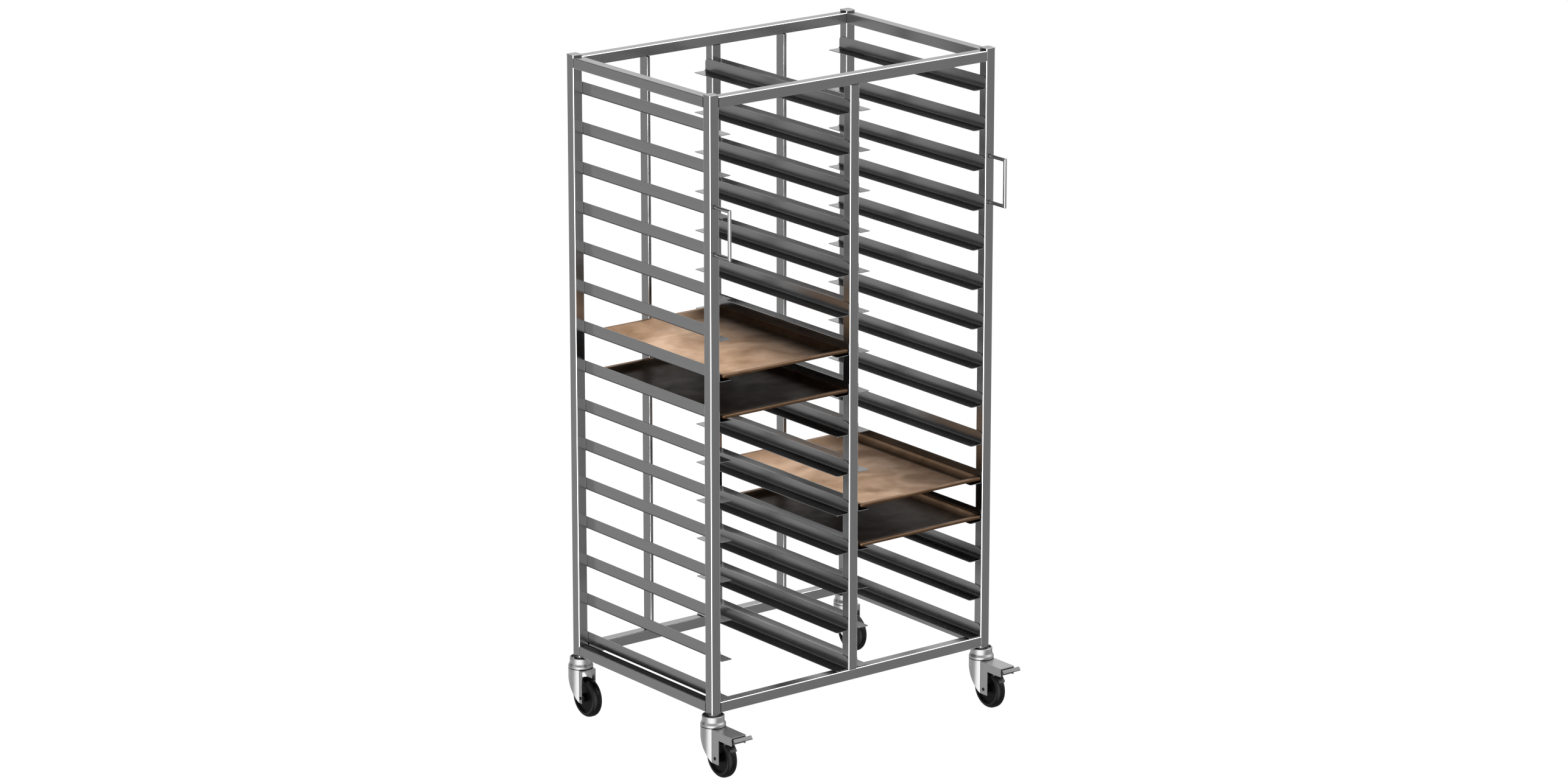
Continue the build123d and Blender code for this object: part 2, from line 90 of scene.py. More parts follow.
def faded(tree, value, spread, levels):
    """Smooth change of level as a value goes over a range."""
    node = add(
        tree, "ShaderNodeMapRange", {"interpolation_type": "SMOOTHSTEP"},
        Value=value, From_Min=spread[0], From_Max=spread[1], To_Min=levels[0], To_Max=levels[1],
    )
    return node.outputs["Result"]


def figure(tree, operation, *values):
    """Sum, product or other figure of numbers."""
    node = add(tree, "ShaderNodeMath", {"operation": operation})
    for spot, value in enumerate(values):
        if isinstance(value, bpy.types.NodeSocket):
            tree.links.new(value, node.inputs[spot])
        else:
            node.inputs[spot].default_value = value
    return node.outputs["Value"]


CORNER_LEAN = (0.93, 0.995)


def painted_corner_highlight(tree, gain):
    """Painted highlight: gain in lightness where the surface leans between two of the piece's own
    axes.

    The normal's largest part is 1 on a flat face and falls as the surface leans.
    """
    normal = add(tree, "ShaderNodeNewGeometry").outputs["Normal"]
    turn = {"vector_type": "NORMAL", "convert_from": "WORLD", "convert_to": "OBJECT"}
    own = add(tree, "ShaderNodeVectorTransform", turn, Vector=normal).outputs["Vector"]
    lean = add(tree, "ShaderNodeVectorMath", {"operation": "ABSOLUTE"})
    tree.links.new(own, lean.inputs[0])
    parts = add(tree, "ShaderNodeSeparateXYZ", Vector=lean.outputs["Vector"]).outputs
    most = figure(tree, "MAXIMUM", figure(tree, "MAXIMUM", parts["X"], parts["Y"]), parts["Z"])
    return faded(tree, most, CORNER_LEAN, (gain, 1.0))


def drawn_steel(
    name, along, tone=0.22, polish=0.2, marks=350.0, run=6.0, wave=0.00003, corner_highlight_gain=1.0
):
    """Steel with fine marks along one axis (marks to a metre across it, run along it), and waves."""
    material, tree, shader = new_material(name, Metallic=1.0)
    place = add(tree, "ShaderNodeTexCoord").outputs["Object"]
    stretch = [marks, marks, marks]
    stretch[along] = run
    drawn = add(tree, "ShaderNodeMapping", Vector=place, Scale=stretch).outputs["Vector"]
    grain = add(tree, "ShaderNodeTexNoise", Vector=drawn, Scale=1.0, Detail=3.0).outputs["Fac"]
    clouds = add(tree, "ShaderNodeTexNoise", Vector=place, Scale=14.0, Detail=4.0).outputs["Fac"]
    finish = add(tree, "ShaderNodeMix", Factor=0.45, A=grain, B=clouds).outputs["Result"]
    light = (tone * 1.04, tone * 1.04, tone * 1.05)
    dark = (tone * 0.95, tone * 0.95, tone * 0.95)
    shade = two_tones(tree, finish, dark, light)
    # Rounded corners are given a lighter colour: a painted highlight.
    if corner_highlight_gain > 1.0:
        lit = add(tree, "ShaderNodeVectorMath", {"operation": "SCALE"})
        tree.links.new(shade, lit.inputs[0])
        tree.links.new(painted_corner_highlight(tree, corner_highlight_gain), lit.inputs["Scale"])
        shade = lit.outputs["Vector"]
    tree.links.new(shade, shader.inputs["Base Color"])
    tree.links.new(between(tree, finish, polish - 0.02, polish + 0.04), shader.inputs["Roughness"])
    swell = add(tree, "ShaderNodeTexNoise", Vector=place, Scale=75.0, Detail=1.0).outputs["Fac"]
    waves = add(tree, "ShaderNodeBump", Distance=wave, Height=swell).outputs["Normal"]
    bump = add(tree, "ShaderNodeBump", Strength=0.06, Distance=0.00003, Height=grain, Normal=waves)
    tree.links.new(bump.outputs["Normal"], shader.inputs["Normal"])
    return material


AXES = {"x": 0, "y": 1, "z": 2}
# How much lighter the tubes' rounded corners are painted, as a highlight.
PAINTED_HIGHLIGHT_GAIN = 3.6
tube_steel = {
    axis: drawn_steel(f"tube_steel_along_{axis}", index, corner_highlight_gain=PAINTED_HIGHLIGHT_GAIN)
    for axis, index in AXES.items()
}


def finish_node(name, material):
    """Gives a carried-over piece its material."""
    nodes[name].data.materials[0] = material


corners = [f"{row}_{column}" for row in ("front", "rear") for column in ("left", "right")]
for corner in corners:
    finish_node(f"corner_post_{corner}", tube_steel["z"])
for row in ("front", "rear"):
    finish_node(f"centre_post_{row}", tube_steel["z"])
    for level in ("top", "bottom"):
        finish_node(f"{level}_rail_{row}", tube_steel["x"])
for column in ("left", "right"):
    finish_node(f"stop_post_{column}", tube_steel["z"])
    for level in ("top", "bottom"):
        finish_node(f"{level}_rail_{column}", tube_steel["y"])


# Post caps: small square steel plates that close the corner posts, with edges broken by hand.
# The shape is the plate's own, with every sharp edge rounded by a fraction of a millimetre.
def show(name, mesh, body, slot, *replaced):
    """Puts a finished mesh in the scene as a piece of the trolley, in place of solid pieces."""
    piece = bpy.data.objects.new(name, mesh)
    bpy.context.collection.objects.link(piece)
    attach(piece, body)
    if replaced:
        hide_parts(*replaced)


def mesh_of(name, points, faces, material, fold=None):
    """Smooth mesh from points and faces, creased where it turns by more than the fold."""
    mesh = bpy.data.meshes.new(name)
    mesh.from_pydata([tuple(point) for point in points], [], faces)
    mesh.shade_smooth()
    if fold:
        mesh.set_sharp_from_angle(angle=radians(fold))
    if material:
        mesh.materials.append(material)
    return mesh


def kept(name, source):
    """Keeps what an object's modifiers make as a plain mesh, and drops the object."""
    graph = bpy.context.evaluated_depsgraph_get()
    made = source.evaluated_get(graph)
    result = bpy.data.meshes.new_from_object(made, preserve_all_data_layers=True, depsgraph=graph)
    result.name = name
    bpy.data.objects.remove(source)
    return result


def settled(name, mesh, modifiers):
    """Runs modifiers on a mesh."""
    source = bpy.data.objects.new(name + "_source", mesh)
    bpy.context.collection.objects.link(source)
    for kind, settings in modifiers:
        modifier = source.modifiers.new(kind.lower(), kind)
        for option, value in settings.items():
            setattr(modifier, option, value)
    return kept(name, source)


def edge_rounding(width, fold=32.0):
    """Bevel that rounds only edges that turn by more than the fold."""
    return ("BEVEL", {
        "width": width, "segments": 2, "limit_method": "ANGLE",
        "angle_limit": radians(fold), "harden_normals": True,
    })


SAME_POINT = 1e-6
FLAT_ENOUGH = radians(0.5)


def softened(node, name, width, material, fold=32.0):
    """Mesh of a solid piece with its sharp edges rounded."""
    shape = bmesh.new()
    shape.from_mesh(nodes[node].data)
    bmesh.ops.remove_doubles(shape, verts=shape.verts, dist=SAME_POINT)
    bmesh.ops.dissolve_limit(shape, angle_limit=FLAT_ENOUGH, verts=shape.verts, edges=shape.edges)
    shape.verts.index_update()
    points = [vertex.co[:] for vertex in shape.verts]
    faces = [[vertex.index for vertex in face.verts] for face in shape.faces]
    shape.free()
    mesh = mesh_of(name, points, faces, material, fold)
    return settled(name, mesh, [edge_rounding(width, fold=fold)])


CAP_EDGE = 0.0005
# The caps take the tube steel, so their rounded edges carry its painted highlight.
cap_plate = softened("post_caps", "cap_plates", CAP_EDGE, tube_steel["x"])
show("cap_plates", cap_plate, "root", "frame_steel", "post_caps")


# Welds: a low bead of weld metal round the end of each rail and of each centre post.
# The beads are ground nearly flush, and their ripples show as a fine dark line.
def geometry_tree(name, **sizes):
    """Starts a geometry tree with a named input for each size."""
    tree = bpy.data.node_groups.new(name, "GeometryNodeTree")
    tree.interface.new_socket("Geometry", in_out="INPUT", socket_type="NodeSocketGeometry")
    for label, value in sizes.items():
        kind = "NodeSocketInt" if isinstance(value, int) else "NodeSocketFloat"
        tree.interface.new_socket(label, in_out="INPUT", socket_type=kind).default_value = value
    tree.interface.new_socket("Geometry", in_out="OUTPUT", socket_type="NodeSocketGeometry")
    return tree, tree.nodes.new("NodeGroupInput"), tree.nodes.new("NodeGroupOutput")


def grown(name, seed, tree, **sizes):
    """Runs a geometry tree on a seed mesh and keeps what it makes as a plain mesh."""
    source = bpy.data.objects.new(name + "_source", seed)
    bpy.context.collection.objects.link(source)
    modifier = source.modifiers.new("grow", "NODES")
    modifier.node_group = tree
    for item in tree.interface.items_tree:
        if item.in_out == "INPUT" and item.name in sizes:
            modifier[item.identifier] = sizes[item.name]
    return kept(name, source)


WELD_STEPS = 112
WELD_SIDES = 6
RIPPLES = 420.0
weld_metal = drawn_steel("weld_metal", AXES["z"], tone=0.04, polish=0.5, marks=400.0, run=400.0)


def weld_tree():
    """Rippled bead round a square tube, set at each point of a mesh and turned to face along it."""
    tree, start, end = geometry_tree(
        "weld_beads", Width=0.028, Corner=0.003, Bead=0.0008, Ripple=0.0005, Turn_X=0.0, Turn_Y=0.0
    )
    width = start.outputs["Width"]
    outline = add(tree, "GeometryNodeCurvePrimitiveQuadrilateral", Width=width, Height=width)
    rounded = add(tree, "GeometryNodeFilletCurve", Curve=outline.outputs["Curve"])
    tree.links.new(start.outputs["Corner"], rounded.inputs["Radius"])
    stepped = add(
        tree, "GeometryNodeResampleCurve", Curve=rounded.outputs["Curve"], Count=WELD_STEPS
    )
    bead = add(tree, "GeometryNodeCurvePrimitiveCircle", Resolution=WELD_SIDES)
    tree.links.new(start.outputs["Bead"], bead.inputs["Radius"])
    ring = add(tree, "GeometryNodeCurveToMesh", Curve=stepped.outputs["Curve"])
    tree.links.new(bead.outputs["Curve"], ring.inputs["Profile Curve"])
    wave = add(tree, "ShaderNodeTexNoise", Scale=RIPPLES, Detail=1.0).outputs["Fac"]
    height = figure(tree, "MULTIPLY", figure(tree, "SUBTRACT", wave, 0.5), start.outputs["Ripple"])
    outwards = add(tree, "ShaderNodeVectorMath", {"operation": "SCALE"}, Scale=height)
    tree.links.new(add(tree, "GeometryNodeInputNormal").outputs["Normal"], outwards.inputs[0])
    rippled = add(
        tree, "GeometryNodeSetPosition",
        Geometry=ring.outputs["Mesh"], Offset=outwards.outputs["Vector"],
    )
    turn = add(tree, "ShaderNodeCombineXYZ", X=start.outputs["Turn_X"], Y=start.outputs["Turn_Y"])
    placed = add(
        tree, "GeometryNodeInstanceOnPoints",
        Points=start.outputs["Geometry"], Instance=rippled.outputs["Geometry"],
        Rotation=turn.outputs["Vector"],
    )
    real = add(tree, "GeometryNodeRealizeInstances", Geometry=placed.outputs["Instances"])
    dressed = add(
        tree, "GeometryNodeSetMaterial", Geometry=real.outputs["Geometry"], Material=weld_metal
    )
    tree.links.new(dressed.outputs["Geometry"], end.inputs["Geometry"])
    return tree


def middle(node):
    """Middle of a piece's box at rest."""
    low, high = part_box(node)
    return (low + high) / 2


def ends(node, axis):
    """Middles of a tube's two end faces along an axis."""
    low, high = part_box(node)
    places = []
    for edge in (low, high):
        place = middle(node)
        place[axis] = edge[axis]
        places.append(place)
    return places


welds = weld_tree()
weld_runs = {
    "cross_rail_welds": ("x", (
        "top_rail_front", "top_rail_rear", "bottom_rail_front", "bottom_rail_rear",
    )),
    "side_rail_welds": ("y", (
        "top_rail_left", "top_rail_right", "bottom_rail_left", "bottom_rail_right",
    )),
    "centre_post_welds": ("z", ("centre_post_front", "centre_post_rear")),
}
quarter_turns = {"x": {"Turn_Y": pi / 2}, "y": {"Turn_X": pi / 2}, "z": {}}
for name, (axis, tubes) in weld_runs.items():
    places = [place for tube in tubes for place in ends(tube, AXES[axis])]
    beads = grown(name, mesh_of(name, places, [], None), welds, **quarter_turns[axis])
    beads.shade_smooth()
    show(name, beads, "root", "frame_steel")


# Slides: strips of steel sheet bent to an angle, one pair for each tray, spot-welded to the
# posts' inner faces. The bend is round and the upright's top corners are cut round. The backs
# that face each other between the bays get a lighter copy of the steel: painted light.
SLIDE_COUNT = 15
SLIDE_HEIGHT = 0.034
SLIDE_SHEET = 0.0016
SLIDE_BEND = 0.0065
SLIDE_TOP_CORNER = 0.011
SLIDE_TIP_CORNER = 0.0025
SLIDE_EDGE = 0.00035
SLIDE_COLUMNS = 24
SLIDE_TIP_STEPS = 4
SLIDE_BEND_STEPS = 10
SLIDE_TOP_STEPS = 8
FACES_BACK = 0.9
slide_steel = drawn_steel("slide_steel", AXES["y"], polish=0.21, wave=0.00009)
# Painted light: a lighter copy of the slide steel for the backs seen between the bays.
slide_back_painted_light_steel = drawn_steel("slide_back_painted_light_steel", AXES["y"], tone=0.6, polish=0.24, wave=0.00009)


def quarter_arc(steps):
    """Angles of a quarter turn in equal steps, both ends included."""
    return [pi / 2 * step / steps for step in range(steps + 1)]


def sheet_wall(thickness):
    """Gives a face the thickness of its sheet, on the side away from its normals."""
    return ("SOLIDIFY", {"thickness": thickness, "offset": -1.0, "use_even_offset": True})


def slide_sheet(node, facing):
    """One slide at the lowest level: its outer face, row by row from the ledge's tip to the top."""
    low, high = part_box(node)
    reach = high.x - low.x
    upright_x = low.x if facing > 0 else high.x
    rows = []
    for angle in quarter_arc(SLIDE_TIP_STEPS):
        inset = SLIDE_TIP_CORNER * (1 - sin(angle))
        rows.append((reach - SLIDE_TIP_CORNER * (1 - cos(angle)), 0.0, inset))
    for angle in quarter_arc(SLIDE_BEND_STEPS):
        rows.append((SLIDE_BEND * (1 - sin(angle)), SLIDE_BEND * (1 - cos(angle)), 0.0))
    for angle in quarter_arc(SLIDE_TOP_STEPS):
        inset = SLIDE_TOP_CORNER * (1 - cos(angle))
        rows.append((0.0, SLIDE_HEIGHT - SLIDE_TOP_CORNER * (1 - sin(angle)), inset))
    points, faces = [], []
    for across, up, inset in rows:
        for column in range(SLIDE_COLUMNS + 1):
            share = column / SLIDE_COLUMNS
            y = (low.y + inset) * (1 - share) + (high.y - inset) * share
            points.append((upright_x + facing * across, y, low.z + up))
    width = SLIDE_COLUMNS + 1
    for row in range(len(rows) - 1):
        for column in range(SLIDE_COLUMNS):
            first = row * width + column
            face = (first, first + 1, first + width + 1, first + width)
            faces.append(face[::-1] if facing > 0 else face)
    mesh = mesh_of("slide_face", points, faces, slide_steel)
    return settled("slide", mesh, [sheet_wall(SLIDE_SHEET), edge_rounding(SLIDE_EDGE, fold=60.0)])


def ladder_tree():
    """Repeats a slide upwards at an even pitch. Back is the way its back faces along x, or 0; faces
    turned that way get the lighter steel of painted light.
    """
    tree, start, end = geometry_tree("slide_ladder", Count=SLIDE_COUNT, Pitch=0.1, Back=0.0)
    step = add(tree, "ShaderNodeCombineXYZ", Z=start.outputs["Pitch"])
    rungs = add(tree, "GeometryNodeMeshLine", Count=start.outputs["Count"])
    tree.links.new(step.outputs["Vector"], rungs.inputs["Offset"])
    placed = add(
        tree, "GeometryNodeInstanceOnPoints",
        Points=rungs.outputs["Mesh"], Instance=start.outputs["Geometry"],
    )
    real = add(tree, "GeometryNodeRealizeInstances", Geometry=placed.outputs["Instances"])
    dressed = add(
        tree, "GeometryNodeSetMaterial", Geometry=real.outputs["Geometry"], Material=slide_steel
    )
    normal = add(tree, "GeometryNodeInputNormal").outputs["Normal"]
    sideways = add(tree, "ShaderNodeSeparateXYZ", Vector=normal).outputs["X"]
    backwards = figure(tree, "MULTIPLY", sideways, start.outputs["Back"])
    # Faces turned to the back take the lighter steel: painted light.
    backs = add(
        tree, "GeometryNodeSetMaterial", Geometry=dressed.outputs["Geometry"],
        Selection=figure(tree, "GREATER_THAN", backwards, FACES_BACK), Material=slide_back_painted_light_steel,
    )
    tree.links.new(backs.outputs["Geometry"], end.inputs["Geometry"])
    return tree


ladder = ladder_tree()
for bay in ("left", "right"):
    for side, facing in {"left": 1, "right": -1}.items():
        node = f"slides_{bay}_bay_{side}"
        low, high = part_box(node)
        pitch = (high.z - low.z - SLIDE_HEIGHT) / (SLIDE_COUNT - 1)
        name = f"slide_sheets_{bay}_bay_{side}"
        back = 0.0 if side == bay else -float(facing)
        sheets = grown(name, slide_sheet(node, facing), ladder, Pitch=pitch, Back=back)
        show(name, sheets, "root", "slide_steel", node)


# Trays: steel sheet pressed to a shallow pan with sloping walls and a rim turned down round
# the edge. The bronze-coloured coating is baked on and clouded by use, and the rim is darker.
TRAY_SHEET = 0.001
TRAY_RIM = 0.0075
TRAY_RIM_DROP = 0.0075
TRAY_RIM_CORNER = 0.008
TRAY_TOP_CORNER = 0.012
TRAY_FLOOR_CORNER = 0.014
TRAY_SIDE_RUN = 0.016
TRAY_END_RUN = 0.040
TRAY_RIM_ROUND = 0.0012
TRAY_CREASE_BACK = 0.0015
TRAY_CREASE_CORNER = 0.001
RIM_ROUND_STEPS = 4
SLOPE_STEPS = 12
SLOPE_EASE = 0.65
CORNER_STEPS = 8
LONG_SIDE_STEPS = 10
SHORT_SIDE_STEPS = 8
FLOOR_RINGS = (0.9, 0.78, 0.64, 0.5, 0.36, 0.22, 0.08)
TRAY_WARP = 0.0003
TRAY_WARP_SIZE = 0.11


def baked_bronze(name, dark, light, gloss, bare=0.0):
    """Bronze coating with soft blotches of tarnish, wiping marks and a slightly uneven gloss.

    Bare is the share of metal that shows where the coating has rubbed off.
    """
    material, tree, shader = new_material(name, Metallic=bare, Specular_IOR_Level=0.025)
    place = add(tree, "ShaderNodeTexCoord").outputs["Object"]
    blotch = add(tree, "ShaderNodeTexNoise", Vector=place, Scale=8.0, Detail=2.0, Distortion=0.6)
    marks = add(tree, "ShaderNodeTexNoise", Vector=place, Scale=22.0, Detail=4.0, Distortion=0.3)
    fine = add(tree, "ShaderNodeTexNoise", Vector=place, Scale=900.0, Detail=2.0)
    tarnish = add(
        tree, "ShaderNodeMix", Factor=0.25, A=blotch.outputs["Fac"], B=marks.outputs["Fac"]
    ).outputs["Result"]
    tone = two_tones(tree, tarnish, dark, light, (0.36, 0.64))
    tree.links.new(tone, shader.inputs["Base Color"])
    tree.links.new(between(tree, tarnish, gloss + 0.08, gloss - 0.08), shader.inputs["Roughness"])
    bump = add(tree, "ShaderNodeBump", Strength=0.1, Distance=0.00004, Height=fine.outputs["Fac"])
    tree.links.new(bump.outputs["Normal"], shader.inputs["Normal"])
    return material


pan_bronze = baked_bronze("pan_bronze", (0.24, 0.145, 0.085), (0.50, 0.335, 0.225), 0.38)
rim_bronze = baked_bronze("rim_bronze", (0.19, 0.11, 0.06), (0.36, 0.215, 0.125), 0.42, bare=0.6)


def rounded_ring(centre, half_width, half_length, corner, height):
    """Points of a rounded rectangle, the same number whatever its size."""
    points = []
    for sign_x, sign_y, start in ((1, 1, 0.0), (-1, 1, 0.5), (-1, -1, 1.0), (1, -1, 1.5)):
        hub = (centre.x + sign_x * (half_width - corner), centre.y + sign_y * (half_length - corner))
        for step in range(CORNER_STEPS + 1):
            angle = pi * (start + step / (2 * CORNER_STEPS))
            points.append(Vector((hub[0] + corner * cos(angle), hub[1] + corner * sin(angle), height)))
        along_y = sign_x * sign_y < 0
        run = LONG_SIDE_STEPS if along_y else SHORT_SIDE_STEPS
        last = points[-1]
        if along_y:
            target = Vector((last.x, last.y - sign_y * 2 * (half_length - corner), height))
        else:
            target = Vector((last.x - sign_x * 2 * (half_width - corner), last.y, height))
        points += [last.lerp(target, step / run) for step in range(1, run)]
    return points


def eased(share):
    """Share of a way that starts and ends level."""
    return share * share * (3 - 2 * share)


def tray_face(node):
    """Upper face of a tray: rings from the turned-down edge over the rim to the floor."""
    low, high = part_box(node)
    centre = (low + high) / 2
    half_width, half_length = (high.x - low.x) / 2, (high.y - low.y) / 2
    floor = low.z + TRAY_SHEET
    rings = [(0.0, 0.0, TRAY_RIM_CORNER, high.z - TRAY_RIM_DROP)]
    for angle in quarter_arc(RIM_ROUND_STEPS):
        inset = TRAY_RIM_ROUND * (1 - cos(angle))
        height = high.z - TRAY_RIM_ROUND * (1 - sin(angle))
        rings.append((inset, inset, TRAY_RIM_CORNER - inset, height))
    slope_top = (TRAY_RIM, TRAY_RIM, TRAY_TOP_CORNER)
    slope_foot = (TRAY_RIM + TRAY_SIDE_RUN, TRAY_RIM + TRAY_END_RUN, TRAY_FLOOR_CORNER)
    crease = TRAY_RIM - TRAY_CREASE_BACK
    rings.append((crease, crease, TRAY_TOP_CORNER + TRAY_CREASE_CORNER, high.z))
    rim_rings = len(rings)
    for step in range(1, SLOPE_STEPS + 1):
        share = step / SLOPE_STEPS
        drop = share + (eased(share) - share) * SLOPE_EASE
        side, end, corner = (a + (b - a) * share for a, b in zip(slope_top, slope_foot))
        rings.append((side, end, corner, high.z + (floor - high.z) * drop))
    points = []
    for side, end, corner, height in rings:
        points += rounded_ring(centre, half_width - side, half_length - end, corner, height)
    floor_half = (half_width - rings[-1][0], half_length - rings[-1][1])
    for share in FLOOR_RINGS:
        size = (floor_half[0] * share, floor_half[1] * share)
        points += rounded_ring(centre, *size, TRAY_FLOOR_CORNER * share, floor)
    count = len(rounded_ring(centre, half_width, half_length, TRAY_RIM_CORNER, 0.0))
    for point in points:
        if point.z <= floor + SAME_POINT:
            point.z += TRAY_WARP * noise.noise(point / TRAY_WARP_SIZE)
    faces = []
    for ring in range(len(points) // count - 1):
        for step in range(count):
            a, b = ring * count + step, ring * count + (step + 1) % count
            faces.append((a, b, b + count, a + count))
    faces.append(tuple(range(len(points) - count, len(points))))
    mesh = mesh_of(node + "_face", points, faces, pan_bronze)
    mesh.materials.append(rim_bronze)
    for face in mesh.polygons:
        face.material_index = 1 if face.index < rim_rings * count else 0
    return mesh


for bay in ("left", "right"):
    for place in ("upper", "lower"):
        node = f"tray_{bay}_{place}"
        pan = settled(f"pressed_{node}", tray_face(node), [sheet_wall(TRAY_SHEET)])
        show(f"pressed_{node}", pan, node, "tray_coating", node)


# Push handles: loops of round bright rod with square mitred corners, butted against the front
# posts' faces with a small bead of weld round each end.
HANDLE_ROD = 0.0095
HANDLE_BEAD = 0.0009
HANDLE_SIDES = 32
HANDLE_EDGE = 0.0004
BEAD_SIDES = 12
handle_steel = drawn_steel("handle_steel", AXES["z"], tone=0.33, polish=0.16, marks=500.0, run=12.0)


def rod_loop(node):
    """Mesh of a mitred rod that runs out from the post's face, up and back, with open ends."""
    low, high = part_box(node)
    radius = HANDLE_ROD / 2
    front, lower, upper = low.y + radius, low.z + radius, high.z - radius
    path = [
        (high.y, lower, 0, 1), (front, lower, 1, 1), (front, upper, 1, -1), (high.y, upper, 0, -1),
    ]
    points, faces = [], []
    for y, z, mitre_y, mitre_z in path:
        for step in range(HANDLE_SIDES):
            angle = 2 * pi * step / HANDLE_SIDES
            across, along = radius * cos(angle), radius * sin(angle)
            points.append((middle(node).x + across, y + mitre_y * along, z + mitre_z * along))
    for ring in range(len(path) - 1):
        for step in range(HANDLE_SIDES):
            a, b = ring * HANDLE_SIDES + step, ring * HANDLE_SIDES + (step + 1) % HANDLE_SIDES
            faces.append((a, a + HANDLE_SIDES, b + HANDLE_SIDES, b))
    return mesh_of(node + "_rod", points, faces, handle_steel, fold=40.0)


def turned(name, profile, centre, axis, material, fold=None, steps=96):
    """Mesh turned about an axis from a closed outline of (radius, distance along the axis)."""
    rotation = Vector((0, 0, 1)).rotation_difference(axis).to_matrix()
    points, faces = [], []
    for step in range(steps):
        angle = 2 * pi * step / steps
        for radius, along in profile:
            place = Vector((radius * cos(angle), radius * sin(angle), along))
            points.append(centre + rotation @ place)
    count = len(profile)
    for step in range(steps):
        here, there = step * count, (step + 1) % steps * count
        for spot in range(count):
            after = (spot + 1) % count
            faces.append((here + spot, here + after, there + after, there + spot))
    return mesh_of(name, points, faces, material, fold)


def bead_round(name, radius, thickness, centre, axis):
    """Bead of weld round a rod."""
    angles = [2 * pi * step / BEAD_SIDES for step in range(BEAD_SIDES)]
    outline = [(radius + thickness * cos(angle), thickness * sin(angle)) for angle in angles]
    return turned(name, outline, centre, axis, weld_metal, steps=48)


for side in ("left", "right"):
    node = f"handle_{side}"
    low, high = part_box(node)
    loop = settled(f"bent_{node}", rod_loop(node), [edge_rounding(HANDLE_EDGE, fold=40.0)])
    show(f"bent_{node}", loop, "root", "handle_steel", node)
    for place, z in {"lower": low.z + HANDLE_ROD / 2, "upper": high.z - HANDLE_ROD / 2}.items():
        name = f"{node}_{place}_weld"
        seat = Vector((middle(node).x, high.y - HANDLE_BEAD / 2, z))
        bead = bead_round(name, HANDLE_ROD / 2, HANDLE_BEAD, seat, Vector((0, 1, 0)))
        show(name, bead, "root", "handle_steel")


# Caster heads: cups pressed from bright sheet and turned out at the foot. The post stands in
# the recess on top, and the swivel race is inside. The stems and balls are plain steel.
HEAD_RECESS_RADIUS = 0.0254
HEAD_RECESS_DEPTH = 0.005
HEAD_ROOF = 0.003
HEAD_RADIUS = 0.0286
HEAD_FLARE_RADIUS = 0.0325
HEAD_FLARE_START = 0.013
HEAD_FLARE_END = 0.0235
HEAD_BOTTOM = 0.0285
HEAD_WALL = 0.00225
HEAD_RIM_ROUND = 0.0018
HEAD_FOOT_ROUND = 0.002
HEAD_RIM_STEPS = 6
FLARE_STEPS = 12
HEAD_FOOT_STEPS = 3
STEM_HOLE = 0.00605
caster_steel = drawn_steel(
    "caster_steel", AXES["z"], tone=0.34, polish=0.31, marks=60.0, run=60.0, wave=0.00001
)
ball_steel = drawn_steel("ball_steel", AXES["z"], polish=0.08, marks=300.0, run=300.0, wave=0.0)


def caster_rubber():
    """Black rubber, dull, with a fine grain and a little bloom."""
    material, tree, shader = new_material("sleeve_rubber", Specular_IOR_Level=0.3)
    place = add(tree, "ShaderNodeTexCoord").outputs["Object"]
    grain = add(tree, "ShaderNodeTexNoise", Vector=place, Scale=600.0, Detail=3.0).outputs["Fac"]
    tone = two_tones(tree, grain, (0.012, 0.012, 0.012), (0.03, 0.03, 0.03))
    tree.links.new(tone, shader.inputs["Base Color"])
    tree.links.new(between(tree, grain, 0.6, 0.8), shader.inputs["Roughness"])
    return material


def head_outline():
    """Section of a caster head, from its own top downwards."""
    outline = [(STEM_HOLE, -HEAD_RECESS_DEPTH), (HEAD_RECESS_RADIUS, -HEAD_RECESS_DEPTH)]
    outline.append((HEAD_RECESS_RADIUS, 0.0))
    for angle in quarter_arc(HEAD_RIM_STEPS):
        spread, drop = HEAD_RIM_ROUND * (1 - sin(angle)), HEAD_RIM_ROUND * (1 - cos(angle))
        outline.append((HEAD_RADIUS - spread, -drop))
    flare = []
    for step in range(FLARE_STEPS + 1):
        share = step / FLARE_STEPS
        out = (HEAD_FLARE_RADIUS - HEAD_RADIUS) * eased(share)
        drop = HEAD_FLARE_START + (HEAD_FLARE_END - HEAD_FLARE_START) * share
        flare.append((HEAD_RADIUS + out, -drop))
    outline += flare
    for angle in quarter_arc(HEAD_FOOT_STEPS):
        spread, drop = HEAD_FOOT_ROUND * (1 - cos(angle)), HEAD_FOOT_ROUND * (1 - sin(angle))
        outline.append((HEAD_FLARE_RADIUS - spread, drop - HEAD_BOTTOM))
    outline.append((HEAD_FLARE_RADIUS - HEAD_WALL, -HEAD_BOTTOM))
    outline += [(radius - HEAD_WALL, drop) for radius, drop in reversed(flare)]
    outline.append((HEAD_RADIUS - HEAD_WALL, -HEAD_RECESS_DEPTH - HEAD_ROOF))
    outline.append((STEM_HOLE, -HEAD_RECESS_DEPTH - HEAD_ROOF))
    return outline


for corner in corners:
    node = f"caster_head_{corner}"
    top = middle(node)
    top.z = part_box(node)[1].z
    cup = turned(f"pressed_{node}", head_outline(), top, Vector((0, 0, 1)), caster_steel, fold=35.0)
    show(f"pressed_{node}", cup, "root", "caster_plate", node)
    finish_node(f"caster_stem_{corner}", caster_steel)
finish_node("swivel_balls", ball_steel)
finish_node("expander_sleeves", caster_rubber())


